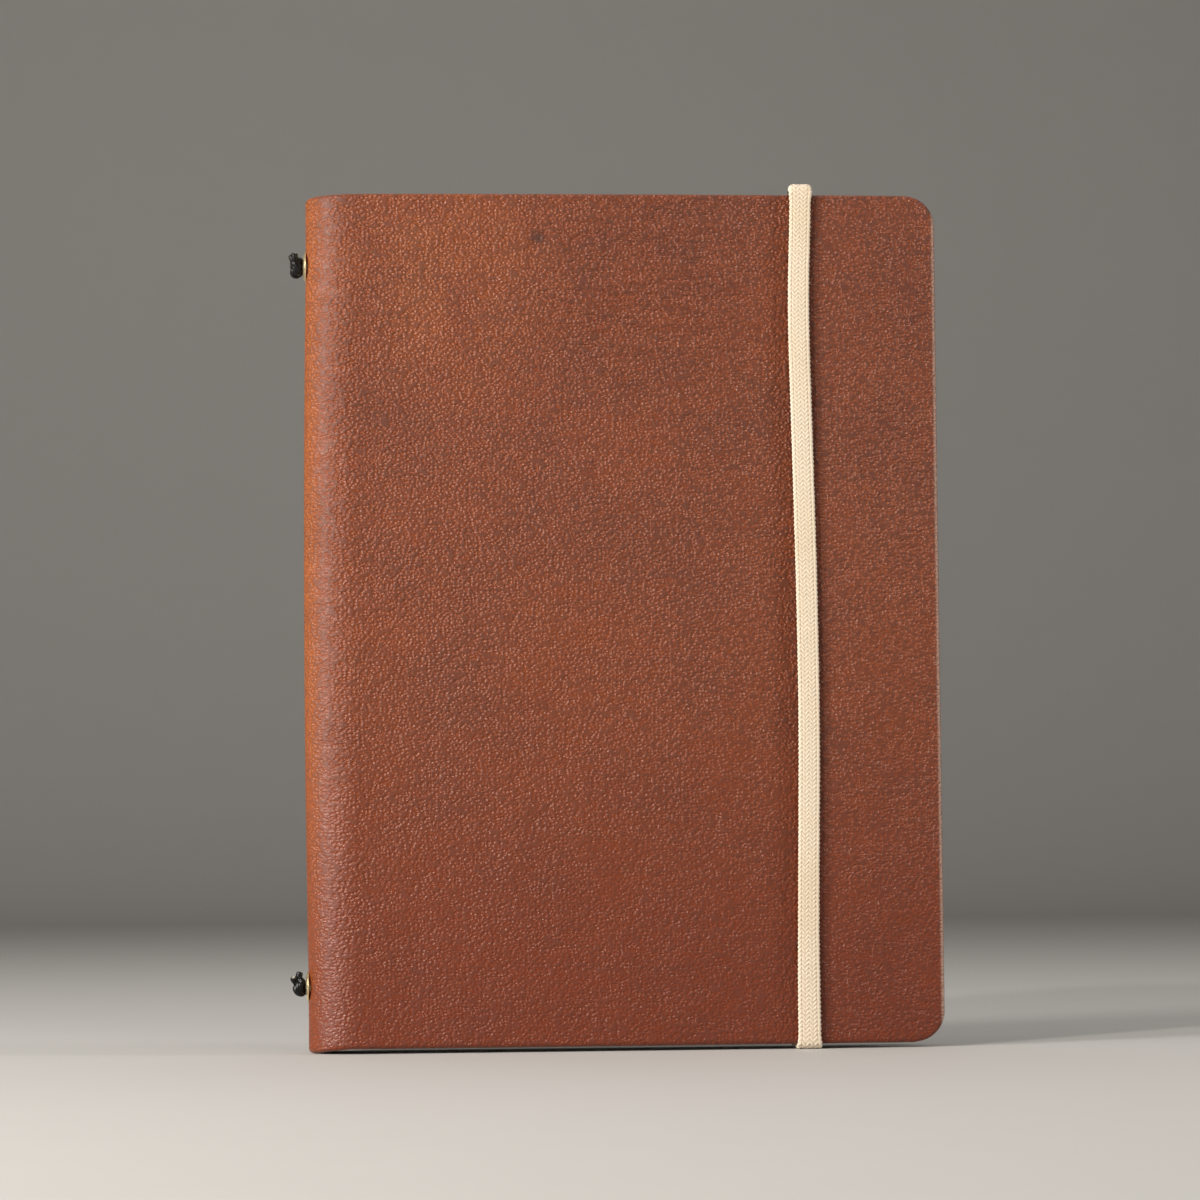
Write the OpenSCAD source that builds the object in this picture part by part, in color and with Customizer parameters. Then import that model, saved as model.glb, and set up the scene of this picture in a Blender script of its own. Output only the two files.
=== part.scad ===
// Leather notebook cover with a paper refill and an elastic closure band.
// X runs from the spine to the fore-edge, the front cover faces -Y, Z is up.
// The book stands closed on its lower edge. The origin is the middle of its footprint.

/* [Cover] */
// Height of the leather sheet
cover_h = 155; // [150:1:170]
// Width of the closed cover, from the back of the spine to the fore-edge
cover_w = 115.5; // [112:0.5:125]
// Thickness of the leather
leather_t = 2; // [1.8:0.1:2.1]
// Outer radius of the spine bend, which is half the thickness of the closed book
spine_r = 7; // [7:0.1:8]
// Slope of each panel towards the middle, in degrees
panel_taper = 0.8; // [0.6:0.1:1]
// Extra slope of each panel where the band presses it, in degrees
band_taper = 1.5; // [1.3:0.1:1.6]
// Radius of the fore-edge corners
corner_r = 5.5; // [4:0.5:10]

/* [Eyelets and cord] */
// Distance from the top edge to the middle of the upper eyelet
upper_eyelet_inset = 12.5; // [10:0.5:16]
// Distance from the bottom edge to the middle of the lower eyelet
lower_eyelet_inset = 11; // [10:0.5:16]
// Radius of the bore through each eyelet
eyelet_bore_r = 1.5; // [1.4:0.05:1.6]
// Radius of the flange of each eyelet
flange_r = 2.8; // [2.6:0.1:3.2]
// Radius of the round elastic cord
cord_r = 0.7; // [0.6:0.05:0.75]

/* [Closure band] */
// Width of the band
band_w = 4.4; // [4:0.1:6]
// Thickness of the band
band_t = 0.9; // [0.8:0.1:1]
// Distance from the back of the spine to the middle of the band
band_x = 90.8; // [90:0.2:95]
// Height of the band's crown over the top edge
band_crown = 2.2; // [1.4:0.1:2.5]

/* [Refill] */
// Height of the refill
refill_h = 148; // [140:1:148]
// Width of the refill from its fold
refill_w = 105; // [100:1:105]
// Thickness of the closed refill
refill_t = 5; // [4.6:0.1:5]
// Thickness of the refill's card cover
card_t = 0.3; // [0.25:0.05:0.35]

/* [Hidden] */

// Running clearances
split_gap = 0.12;
band_gap = 0.15;
seat_gap = 0.02;
bore_gap = 0.05;
cut_past = 1;
round_fn = 64;

// Knotted cord ends, seated against the flanges
knot_core_r = 1.3;
knot_ring_r = 1.1;
knot_ring_offset = 0.55;
knot_turn_r = cord_r * 0.82;
knot_tilt = 40;
knot_reach = knot_ring_r * cos(knot_tilt) + knot_turn_r;
knot_near_x = -0.5;
knot_x = knot_near_x - knot_reach;
stub_length = 1.5;

// Leather sheet, drawn with the back of the spine at x = 0
frame_x = (cover_w + knot_x - knot_reach) / 2;
leather_bottom = band_t + band_gap;
leather_top = leather_bottom + cover_h;
inner_r = spine_r - leather_t;
split_angle = 45;
bend_steps = 12;
kink_x = 84;
kink_y = spine_r / cos(panel_taper) - (kink_x - spine_r) * tan(panel_taper);
fore_slope = panel_taper + band_taper;
fore_y = kink_y - (cover_w - kink_x) * tan(fore_slope);

// Eyelets
upper_z = leather_top - upper_eyelet_inset;
lower_z = leather_bottom + lower_eyelet_inset;
flange_t = 0.55;
seat_x = 0.1;
barrel_r = eyelet_bore_r + 0.3;
washer_r = 2.5;
washer_t = 0.4;
rolled_r = 2.15;
rolled_t = 0.25;
washer_seat_x = leather_t - 0.1;
washer_x = washer_seat_x + seat_gap;
rolled_x = washer_x + washer_t + seat_gap;

// Refill
fold_back_x = 4.6;
fold_front_x = 6.8;
refill_bottom = leather_bottom + (cover_h - refill_h) / 2;
refill_top = refill_bottom + refill_h;
half_start_x = 7.1;
half_end_x = fold_back_x + refill_w;
leaf_y = 0.06;
card_y = refill_t / 2;
fold_chamfer = 0.8;

// Channel for the cord between the two halves of the refill
channel_y = cord_r + 0.4;
channel_x = 9.4;
channel_end_x = 10.6;

// Cord route inside the cover
staple_r = 0.2;
back_run_x = 3.6;
fold_run_x = fold_front_x + 4 * staple_r - 0.05 + cord_r;
elbow_r = 0.95;
turn_r = (fold_run_x - back_run_x) / 2;
turn_x = (fold_run_x + back_run_x) / 2;
turn_lift = 0.1;

// Staples
staple_crown = 12;
staple_tip = 4.5;
staple_inset = 37;

// Closure band
band_near_x = band_x - band_w / 2;
band_inner_y = kink_y - (band_near_x - kink_x) * tan(fore_slope) + band_gap;
band_inner_corner = 0.4;
band_top = leather_top + band_crown;
lap_extra_t = 0.15;
lap_h = 12;
lap_z = 70;
tack_r = 0.16;
tack_rows = 5;
tack_w = band_w * 0.64;
tack_h = lap_h * 0.6;
tack_z = lap_z - tack_h / 2;

leather_colour = "#7d4630";
brass_colour = "#c9a050";
cord_colour = "#1b1a1c";
band_colour = "#e8dcbc";
thread_colour = "#d8caa4";
card_colour = "#b08a5c";
paper_colour = "#f1ebdb";
steel_colour = "#b9bcc0";

// Moves the drawing so that the middle of the footprint is the origin.
module in_frame() {
    translate([-frame_x, 0, 0]) children();
}

// Plan of the leather bend between two angles, counted from -X towards +Y.
module bend_plan(start_angle, end_angle) {
    far = 2 * spine_r;
    mid_angle = (start_angle + end_angle) / 2;
    translate([spine_r, 0]) intersection() {
        difference() {
            circle(r = spine_r, $fn = 128);
            circle(r = inner_r, $fn = 128);
        }
        polygon([
            [0, 0],
            far * [-cos(start_angle), sin(start_angle)],
            far * [-cos(mid_angle), sin(mid_angle)],
            far * [-cos(end_angle), sin(end_angle)]
        ]);
    }
}

// Point of the leather bend at one radius and angle, counted from -X towards +Y.
function bend_point(radius, angle) = [spine_r - radius * cos(angle), radius * sin(angle)];

// Plan of one cover on the back side: its part of the bend, its flat panel, and the
// slightly steeper strip beside the band.
module cover_plan() {
    gap_angle = split_gap / 2 / spine_r * 180 / PI;
    first_angle = split_angle + gap_angle;
    last_angle = 90 + panel_taper;
    step = (last_angle - first_angle) / bend_steps;
    polygon(concat(
        [for (i = [0 : bend_steps]) bend_point(spine_r, first_angle + i * step)],
        [
            [kink_x, kink_y],
            [cover_w, fore_y],
            [cover_w, fore_y - leather_t],
            [kink_x, kink_y - leather_t]
        ],
        [for (i = [bend_steps : -1 : 0]) bend_point(inner_r, first_angle + i * step)]
    ));
}

// Side view of a panel: square at the spine, rounded at the fore-edge.
module rounded_panel_outline() {
    square([cover_w - corner_r, cover_h]);
    translate([0, corner_r]) square([cover_w, cover_h - 2 * corner_r]);
    for (corner_z = [corner_r, cover_h - corner_r])
        translate([cover_w - corner_r, corner_z]) circle(r = corner_r, $fn = round_fn);
}

// One cover on the back side: its part of the bend and its panel.
module cover_half() {
    intersection() {
        translate([0, 0, leather_bottom]) linear_extrude(cover_h) cover_plan();
        translate([0, 2 * spine_r, leather_bottom])
            rotate([90, 0, 0]) linear_extrude(2 * spine_r) rounded_panel_outline();
    }
}

// Cylinder along X, from one x to another, at a height.
module along_x(from_x, to_x, radius, height) {
    translate([from_x, 0, height])
        rotate([0, 90, 0]) cylinder(r = radius, h = to_x - from_x, $fn = round_fn);
}

// Sinks and hole that one eyelet needs in the leather.
module eyelet_cut(height) {
    along_x(-cut_past, seat_x + seat_gap, flange_r + bore_gap, height);
    along_x(-cut_past, leather_t + cut_past, barrel_r + bore_gap, height);
    along_x(washer_seat_x, leather_t + cut_past, washer_r + bore_gap, height);
}

// Brass eyelet: a domed flange outside, a barrel and a rolled edge over the washer.
module eyelet(height) {
    flange_face = seat_x - flange_t;
    color(brass_colour) in_frame() translate([0, 0, height]) rotate([0, 90, 0])
        rotate_extrude($fn = round_fn) polygon([
            [eyelet_bore_r, flange_face + 0.2],
            [eyelet_bore_r + 0.25, flange_face],
            [flange_r - 0.6, flange_face],
            [flange_r - 0.15, flange_face + 0.2],
            [flange_r, seat_x - 0.15],
            [flange_r, seat_x],
            [barrel_r, seat_x],
            [barrel_r, rolled_x],
            [rolled_r, rolled_x],
            [rolled_r, rolled_x + rolled_t * 0.6],
            [barrel_r + 0.1, rolled_x + rolled_t],
            [eyelet_bore_r, rolled_x + rolled_t * 0.7]
        ]);
}

// Flat brass ring that the eyelet is set against, inside the spine.
module eyelet_washer(height) {
    color(brass_colour) in_frame() difference() {
        along_x(washer_x, washer_x + washer_t, washer_r, height);
        along_x(0, leather_t + cut_past, barrel_r + bore_gap, height);
    }
}

// Knotted cord end: two crossed turns round a core, with the cut ends standing out.
module knot(height, stub_tilts) {
    color(cord_colour) in_frame() translate([knot_x, 0, height]) {
        sphere(r = knot_core_r, $fn = 32);
        for (turn = [1, -1])
            translate([0, 0, turn * knot_ring_offset]) rotate([0, turn * knot_tilt - 90, 0]) rotate([0, 90, 0])
                rotate_extrude($fn = round_fn)
                    translate([knot_ring_r, 0]) circle(r = knot_turn_r, $fn = 24);
        for (tilt = stub_tilts)
            rotate([tilt, 0, 0]) cylinder(r = cord_r, h = knot_core_r + stub_length, $fn = 24);
    }
}

// Straight run of the cord along Z.
module cord_run(run_x, from_z, to_z) {
    translate([run_x, 0, from_z]) cylinder(r = cord_r, h = to_z - from_z, $fn = 24);
}

// Bend of the cord in the XZ plane, between two angles counted from +X towards +Z.
module cord_bend(centre_x, centre_z, bend_r, start_angle, end_angle) {
    translate([centre_x, 0, centre_z]) rotate([90, 0, 0]) rotate([0, 0, start_angle])
        rotate_extrude(angle = end_angle - start_angle, $fn = 96)
            translate([bend_r, 0]) circle(r = cord_r, $fn = 24);
}

// Cord from the upper knot through both eyelets and the fold of the refill.
module refill_cord() {
    elbow_x = back_run_x - elbow_r;
    upper_turn_z = refill_top + turn_lift;
    lower_turn_z = refill_bottom - turn_lift;
    color(cord_colour) in_frame() {
        along_x(knot_near_x + seat_gap, elbow_x, cord_r, upper_z);
        cord_bend(elbow_x, upper_z + elbow_r, elbow_r, -90, 0);
        cord_run(back_run_x, upper_z + elbow_r, upper_turn_z);
        cord_bend(turn_x, upper_turn_z, turn_r, 0, 180);
        cord_run(fold_run_x, lower_turn_z, upper_turn_z);
        cord_bend(turn_x, lower_turn_z, turn_r, 180, 360);
        cord_run(back_run_x, lower_turn_z, lower_z - elbow_r);
        cord_bend(elbow_x, lower_z - elbow_r, elbow_r, 0, 90);
        along_x(knot_near_x + seat_gap, elbow_x, cord_r, lower_z);
    }
}

// Block of the refill's height, drawn from its plan.
module refill_block() {
    translate([0, 0, refill_bottom]) linear_extrude(refill_h) children();
}

// Staple: the crown lies on the back of the fold, its tips are bent over inside.
module staple_wire(middle_z, wire_r) {
    crown_x = fold_back_x - staple_r - seat_gap;
    tip_x = fold_front_x + staple_r + seat_gap;
    translate([crown_x, 0, middle_z - staple_crown / 2])
        cylinder(r = wire_r, h = staple_crown, $fn = 24);
    for (side = [1, -1]) {
        leg_z = middle_z + side * staple_crown / 2;
        translate([crown_x, 0, leg_z]) sphere(r = wire_r, $fn = 24);
        translate([tip_x, 0, leg_z]) sphere(r = wire_r, $fn = 24);
        along_x(crown_x, tip_x, wire_r, leg_z);
        translate([tip_x, 0, side > 0 ? leg_z - staple_tip : leg_z])
            cylinder(r = wire_r, h = staple_tip, $fn = 24);
    }
}

module both_staple_cuts() {
    for (middle_z = [refill_top - staple_inset, refill_bottom + staple_inset])
        staple_wire(middle_z, staple_r + bore_gap / 2);
}

// Flat half of the card cover, on the back side.
module card_half() {
    refill_block() translate([half_start_x, card_y - card_t])
        square([half_end_x - half_start_x, card_t]);
}

// Half of the sheets, on the back side, with room for the cord at the fold.
module page_half() {
    page_y = card_y - card_t - seat_gap;
    refill_block() polygon([
        [half_start_x, channel_y],
        [channel_x, channel_y],
        [channel_end_x, leaf_y],
        [half_end_x, leaf_y],
        [half_end_x, page_y],
        [half_start_x, page_y]
    ]);
}

// Plan of the folded edge, at one distance inside the outer face of the card.
module fold_plan(inset) {
    half_y = card_y - inset;
    back_x = fold_back_x + inset;
    polygon([
        [fold_front_x, -half_y],
        [fold_front_x, half_y],
        [back_x + fold_chamfer, half_y],
        [back_x, half_y - fold_chamfer],
        [back_x, fold_chamfer - half_y],
        [back_x + fold_chamfer, -half_y]
    ]);
}

// Closed rounded rectangle in the YZ plane, drawn upright from a base height.
module band_outline(half_y, from_z, to_z, corner) {
    for (side = [1, -1])
        for (corner_z = [from_z + corner, to_z - corner])
            translate([side * (half_y - corner), corner_z]) circle(r = corner, $fn = 48);
    translate([-half_y, from_z + corner]) square([2 * half_y, to_z - from_z - 2 * corner]);
    translate([corner - half_y, from_z]) square([2 * (half_y - corner), to_z - from_z]);
}

// Bar tack over the lap of the band: rows across it, joined by one row along it.
module tack_rows_shape(thread_r) {
    tack_y = band_inner_y + band_t + lap_extra_t - tack_r * 0.6;
    for (row = [0 : tack_rows - 1])
        translate([band_x - tack_w / 2, tack_y, tack_z + row * tack_h / (tack_rows - 1)])
            rotate([0, 90, 0]) cylinder(r = thread_r, h = tack_w, $fn = 16);
    translate([band_x, tack_y, tack_z]) cylinder(r = thread_r, h = tack_h, $fn = 16);
}

module front_cover() {
    color(leather_colour) in_frame() mirror([0, 1, 0]) cover_half();
}

module back_cover() {
    color(leather_colour) in_frame() cover_half();
}

module spine() {
    gap_angle = split_gap / 2 / spine_r * 180 / PI;
    color(leather_colour) in_frame() difference() {
        translate([0, 0, leather_bottom]) linear_extrude(cover_h)
            bend_plan(gap_angle - split_angle, split_angle - gap_angle);
        eyelet_cut(upper_z);
        eyelet_cut(lower_z);
    }
}

module closure_band() {
    color(band_colour) in_frame() difference() {
        union() {
            translate([band_near_x, 0, 0]) rotate([90, 0, 90]) linear_extrude(band_w) difference() {
                band_outline(band_inner_y + band_t, 0, band_top, band_inner_corner + band_t);
                band_outline(band_inner_y, band_t, band_top - band_t, band_inner_corner);
            }
            translate([band_near_x, band_inner_y, lap_z - lap_h / 2])
                cube([band_w, band_t + lap_extra_t, lap_h]);
        }
        tack_rows_shape(tack_r + seat_gap);
    }
}

module band_stitching() {
    color(thread_colour) in_frame() tack_rows_shape(tack_r);
}

module refill_front_card() {
    color(card_colour) in_frame() mirror([0, 1, 0]) card_half();
}

module refill_back_card() {
    color(card_colour) in_frame() card_half();
}

module refill_card_fold() {
    color(card_colour) in_frame() difference() {
        refill_block() difference() {
            fold_plan(0);
            fold_plan(card_t);
        }
        both_staple_cuts();
    }
}

module refill_front_pages() {
    color(paper_colour) in_frame() mirror([0, 1, 0]) page_half();
}

module refill_back_pages() {
    color(paper_colour) in_frame() page_half();
}

module refill_page_folds() {
    color(paper_colour) in_frame() difference() {
        refill_block() fold_plan(card_t + seat_gap);
        both_staple_cuts();
    }
}

module upper_staple() {
    color(steel_colour) in_frame() staple_wire(refill_top - staple_inset, staple_r);
}

module lower_staple() {
    color(steel_colour) in_frame() staple_wire(refill_bottom + staple_inset, staple_r);
}

front_cover();
spine();
back_cover();
eyelet(upper_z);  // upper_eyelet
eyelet(lower_z);  // lower_eyelet
eyelet_washer(upper_z);  // upper_eyelet_washer
eyelet_washer(lower_z);  // lower_eyelet_washer
refill_cord();
knot(upper_z, [20, -25]);  // upper_knot
knot(lower_z, [15, -40]);  // lower_knot
closure_band();
band_stitching();
refill_front_card();
refill_card_fold();
refill_back_card();
refill_front_pages();
refill_page_folds();
refill_back_pages();
upper_staple();
lower_staple();
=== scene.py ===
import math

import bpy
import numpy as np
from mathutils import Matrix, Vector


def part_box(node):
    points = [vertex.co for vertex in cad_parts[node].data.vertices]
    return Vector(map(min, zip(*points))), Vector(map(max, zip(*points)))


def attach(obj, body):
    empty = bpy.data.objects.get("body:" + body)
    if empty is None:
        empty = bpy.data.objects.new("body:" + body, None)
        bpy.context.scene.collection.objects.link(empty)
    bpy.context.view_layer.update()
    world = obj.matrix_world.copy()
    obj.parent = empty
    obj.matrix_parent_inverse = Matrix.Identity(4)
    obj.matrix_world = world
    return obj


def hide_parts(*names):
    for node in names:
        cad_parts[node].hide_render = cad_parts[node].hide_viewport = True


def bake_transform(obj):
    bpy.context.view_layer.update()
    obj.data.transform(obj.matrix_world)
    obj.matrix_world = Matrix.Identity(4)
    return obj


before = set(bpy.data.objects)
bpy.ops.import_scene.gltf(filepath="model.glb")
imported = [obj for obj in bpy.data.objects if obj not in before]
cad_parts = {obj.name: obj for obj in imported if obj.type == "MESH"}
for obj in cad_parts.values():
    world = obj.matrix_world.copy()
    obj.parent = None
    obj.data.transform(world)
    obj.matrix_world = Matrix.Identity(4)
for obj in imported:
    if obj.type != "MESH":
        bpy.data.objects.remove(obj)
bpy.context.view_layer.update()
mm = 0.001
print("frame loaded:", len(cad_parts), "nodes")

# places that the frame gives, in millimetres
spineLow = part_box("spine")[0] / mm
coverLow, coverHigh = [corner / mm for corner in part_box("front_cover")]
bandLow, bandHigh = [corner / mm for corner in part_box("closure_band")]
pagesLow, pagesHigh = [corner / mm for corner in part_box("refill_back_pages")]
cardLow, cardHigh = [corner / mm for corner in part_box("refill_back_card")]
foldLow, foldHigh = [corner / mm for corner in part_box("refill_card_fold")]
cordLow, cordHigh = [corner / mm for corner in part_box("refill_cord")]
spineBack = spineLow.x          # x of the back of the spine
bendRadius = -coverLow.y        # outer radius of the spine bend
sheetBottom = coverLow.z
sheetHeight = coverHigh.z - coverLow.z
middleZ = sheetBottom + sheetHeight / 2


def nodeMiddle(node):
    low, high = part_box(node)
    return (low + high) / 2 / mm


def smooth(t):
    t = np.clip(t, 0, 1)
    return t * t * (3 - 2 * t)


def ripple(a, b, seed, scale):
    # gentle smooth waviness from a few crossed sine waves, about -1 to 1
    rng = np.random.default_rng(seed)
    total = np.zeros(np.broadcast(a, b).shape)
    for octave in range(6):
        angle = rng.uniform(0, math.tau)
        length = scale * rng.uniform(0.6, 1.6)
        phase = rng.uniform(0, math.tau)
        along = a * math.cos(angle) + b * math.sin(angle)
        total = total + np.sin(along * math.tau / length + phase)
    return total / 3.5


# ---- mesh helpers


def meshFrom(name, points, faces, uv=None, materials=(), faceMaterial=None, attributes=None):
    # points in millimetres; uv has one pair for each point
    mesh = bpy.data.meshes.new(name)
    mesh.from_pydata((np.asarray(points) * mm).tolist(), [], [list(map(int, f)) for f in faces])
    if uv is not None:
        layer = mesh.uv_layers.new(name="Sheet")
        corners = np.zeros(len(mesh.loops), int)
        mesh.loops.foreach_get("vertex_index", corners)
        layer.data.foreach_set("uv", np.asarray(uv, float)[corners].ravel())
    for key, values in (attributes or {}).items():
        layer = mesh.attributes.new(key, "FLOAT", "POINT")
        layer.data.foreach_set("value", np.asarray(values, np.float32).ravel())
    for material in materials:
        mesh.materials.append(material)
    if faceMaterial is not None:
        mesh.polygons.foreach_set("material_index", np.asarray(faceMaterial, int))
    mesh.polygons.foreach_set("use_smooth", np.ones(len(mesh.polygons), bool))
    mesh.validate()
    mesh.update()
    piece = bpy.data.objects.new(name, mesh)
    bpy.context.scene.collection.objects.link(piece)
    return piece


def gridFaces(index, flip=False):
    a, b, c, d = index[:-1, :-1], index[1:, :-1], index[1:, 1:], index[:-1, 1:]
    order = (a, d, c, b) if flip else (a, b, c, d)
    return np.stack([part.ravel() for part in order], axis=1)


def sweepFrames(path):
    # tangents and two side vectors that turn as little as they can along the path
    tangent = np.gradient(path, axis=0)
    tangent /= np.linalg.norm(tangent, axis=1)[:, None]
    side = np.zeros_like(path)
    first = np.cross(tangent[0], (0.0, 0.0, 1.0))
    if np.linalg.norm(first) < 0.1:
        first = np.cross(tangent[0], (0.0, 1.0, 0.0))
    side[0] = first / np.linalg.norm(first)
    for i in range(1, len(path)):
        flat = side[i - 1] - tangent[i] * (side[i - 1] @ tangent[i])
        side[i] = flat / np.linalg.norm(flat)
    return tangent, side, np.cross(tangent, side)


def evenPath(points, step):
    # a smooth curve through the points, with even steps
    points = np.asarray(points, float)
    padded = np.vstack([2 * points[0] - points[1], points, 2 * points[-1] - points[-2]])
    dense = []
    for i in range(len(points) - 1):
        p0, p1, p2, p3 = padded[i:i + 4]
        t = np.linspace(0, 1, 24, endpoint=False)[:, None]
        dense.append(0.5 * (2 * p1 + (p2 - p0) * t + (2 * p0 - 5 * p1 + 4 * p2 - p3) * t ** 2
                            + (3 * p1 - p0 - 3 * p2 + p3) * t ** 3))
    dense = np.vstack(dense + [points[-1:]])
    run = np.concatenate([[0], np.cumsum(np.linalg.norm(np.diff(dense, axis=0), axis=1))])
    at = np.linspace(0, run[-1], max(4, int(run[-1] / step)))
    return np.stack([np.interp(at, run, dense[:, k]) for k in range(3)], axis=1)


# ---- material helpers


def newMaterial(name):
    material = bpy.data.materials.new(name)
    material.use_nodes = True
    tree = material.node_tree
    return material, tree, tree.nodes["Principled BSDF"]


def put(tree, kind, inputs=None, **settings):
    node = tree.nodes.new(kind)
    for key, value in settings.items():
        setattr(node, key, value)
    for key, value in (inputs or {}).items():
        node.inputs[key].default_value = value
    return node


def sheetCoordinates(tree):
    # the piece's own flat coordinates in millimetres
    uv = put(tree, "ShaderNodeUVMap", uv_map="Sheet")
    scale = put(tree, "ShaderNodeVectorMath", {"Scale": 100.0}, operation="SCALE")
    tree.links.new(uv.outputs["UV"], scale.inputs[0])
    return scale.outputs["Vector"]


def noise(tree, where, scale, detail=3.0, roughness=0.5, distortion=0.0, stretch=None):
    if stretch is not None:
        mapping = put(tree, "ShaderNodeMapping", {"Scale": stretch[0], "Rotation": stretch[1]})
        tree.links.new(where, mapping.inputs["Vector"])
        where = mapping.outputs["Vector"]
    node = put(tree, "ShaderNodeTexNoise",
               {"Scale": scale, "Detail": detail, "Roughness": roughness, "Distortion": distortion})
    tree.links.new(where, node.inputs["Vector"])
    return node.outputs["Fac"]


def spread(tree, value, low, high, toLow=0.0, toHigh=1.0):
    node = put(tree, "ShaderNodeMapRange",
               {"From Min": low, "From Max": high, "To Min": toLow, "To Max": toHigh},
               interpolation_type="SMOOTHSTEP")
    tree.links.new(value, node.inputs["Value"])
    return node.outputs["Result"]


def calc(tree, operation, a, b=None):
    node = put(tree, "ShaderNodeMath", operation=operation)
    for slot, value in enumerate((a, b)):
        if value is None:
            continue
        if isinstance(value, (int, float)):
            node.inputs[slot].default_value = value
        else:
            tree.links.new(value, node.inputs[slot])
    return node.outputs[0]


def times(tree, a, b):
    return calc(tree, "MULTIPLY", a, b)


def mixColour(tree, factor, a, b):
    node = put(tree, "ShaderNodeMix", data_type="RGBA")
    for slot, value in ((0, factor), (6, a), (7, b)):
        if isinstance(value, (int, float, tuple)):
            node.inputs[slot].default_value = value
        else:
            tree.links.new(value, node.inputs[slot])
    return node.outputs[2]


def bump(tree, height, distance, strength=1.0, under=None):
    node = put(tree, "ShaderNodeBump", {"Strength": strength, "Distance": distance})
    tree.links.new(height, node.inputs["Height"])
    if under is not None:
        tree.links.new(under, node.inputs["Normal"])
    return node.outputs["Normal"]


def nearPlace(tree, where, place, reach):
    # 1 at a place on the sheet, fading to 0 at reach millimetres
    node = put(tree, "ShaderNodeVectorMath", {1: (place[0], place[1], 0.0)}, operation="DISTANCE")
    tree.links.new(where, node.inputs[0])
    return spread(tree, node.outputs["Value"], 0.0, reach, 1.0, 0.0)


# ---- leather

leatherLook = {
    "chestnut": (0.200, 0.0395, 0.0072, 1),
    "darkBrown": (0.122, 0.023, 0.0065, 1),
    # a tan patch in the hide, and also the painted lit rim along the spine
    "orangeTanAndLitRim": (0.320, 0.088, 0.020, 1),
    "redBrownShade": (0.146, 0.0205, 0.0040, 1),
    "plumBrown": (0.232, 0.053, 0.0155, 1),
    "grainTipHighlight": (0.56, 0.200, 0.064, 1),     # painted highlight on the tips of the grain
    "wornEdgeAndHighlight": (0.60, 0.40, 0.31, 1),
    "fleshSide": (0.27, 0.135, 0.070, 1),
    # dark of the burnished edge, also used for the blemish and as painted shade in the creases and
    # wrinkles
    "edge": (0.050, 0.017, 0.010, 1),
    "pebble": 0.54,        # mm across one grain
    "pebbleDepth": 0.26,   # mm
    "paintedCreaseShade": 0.54,   # how dark the painted shade in the creases between the grains is
    "tipHighlightAmount": 0.24,    # how strong the painted highlight on their tips is
    "wrinkles": 0.4,
    "roughness": (0.26, 0.36),
    "creaseRoughness": 0.26,                 # added in the creases
    "specular": 0.40,
    "coat": 0.12,
    "coatRoughness": 0.34,
}


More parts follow.
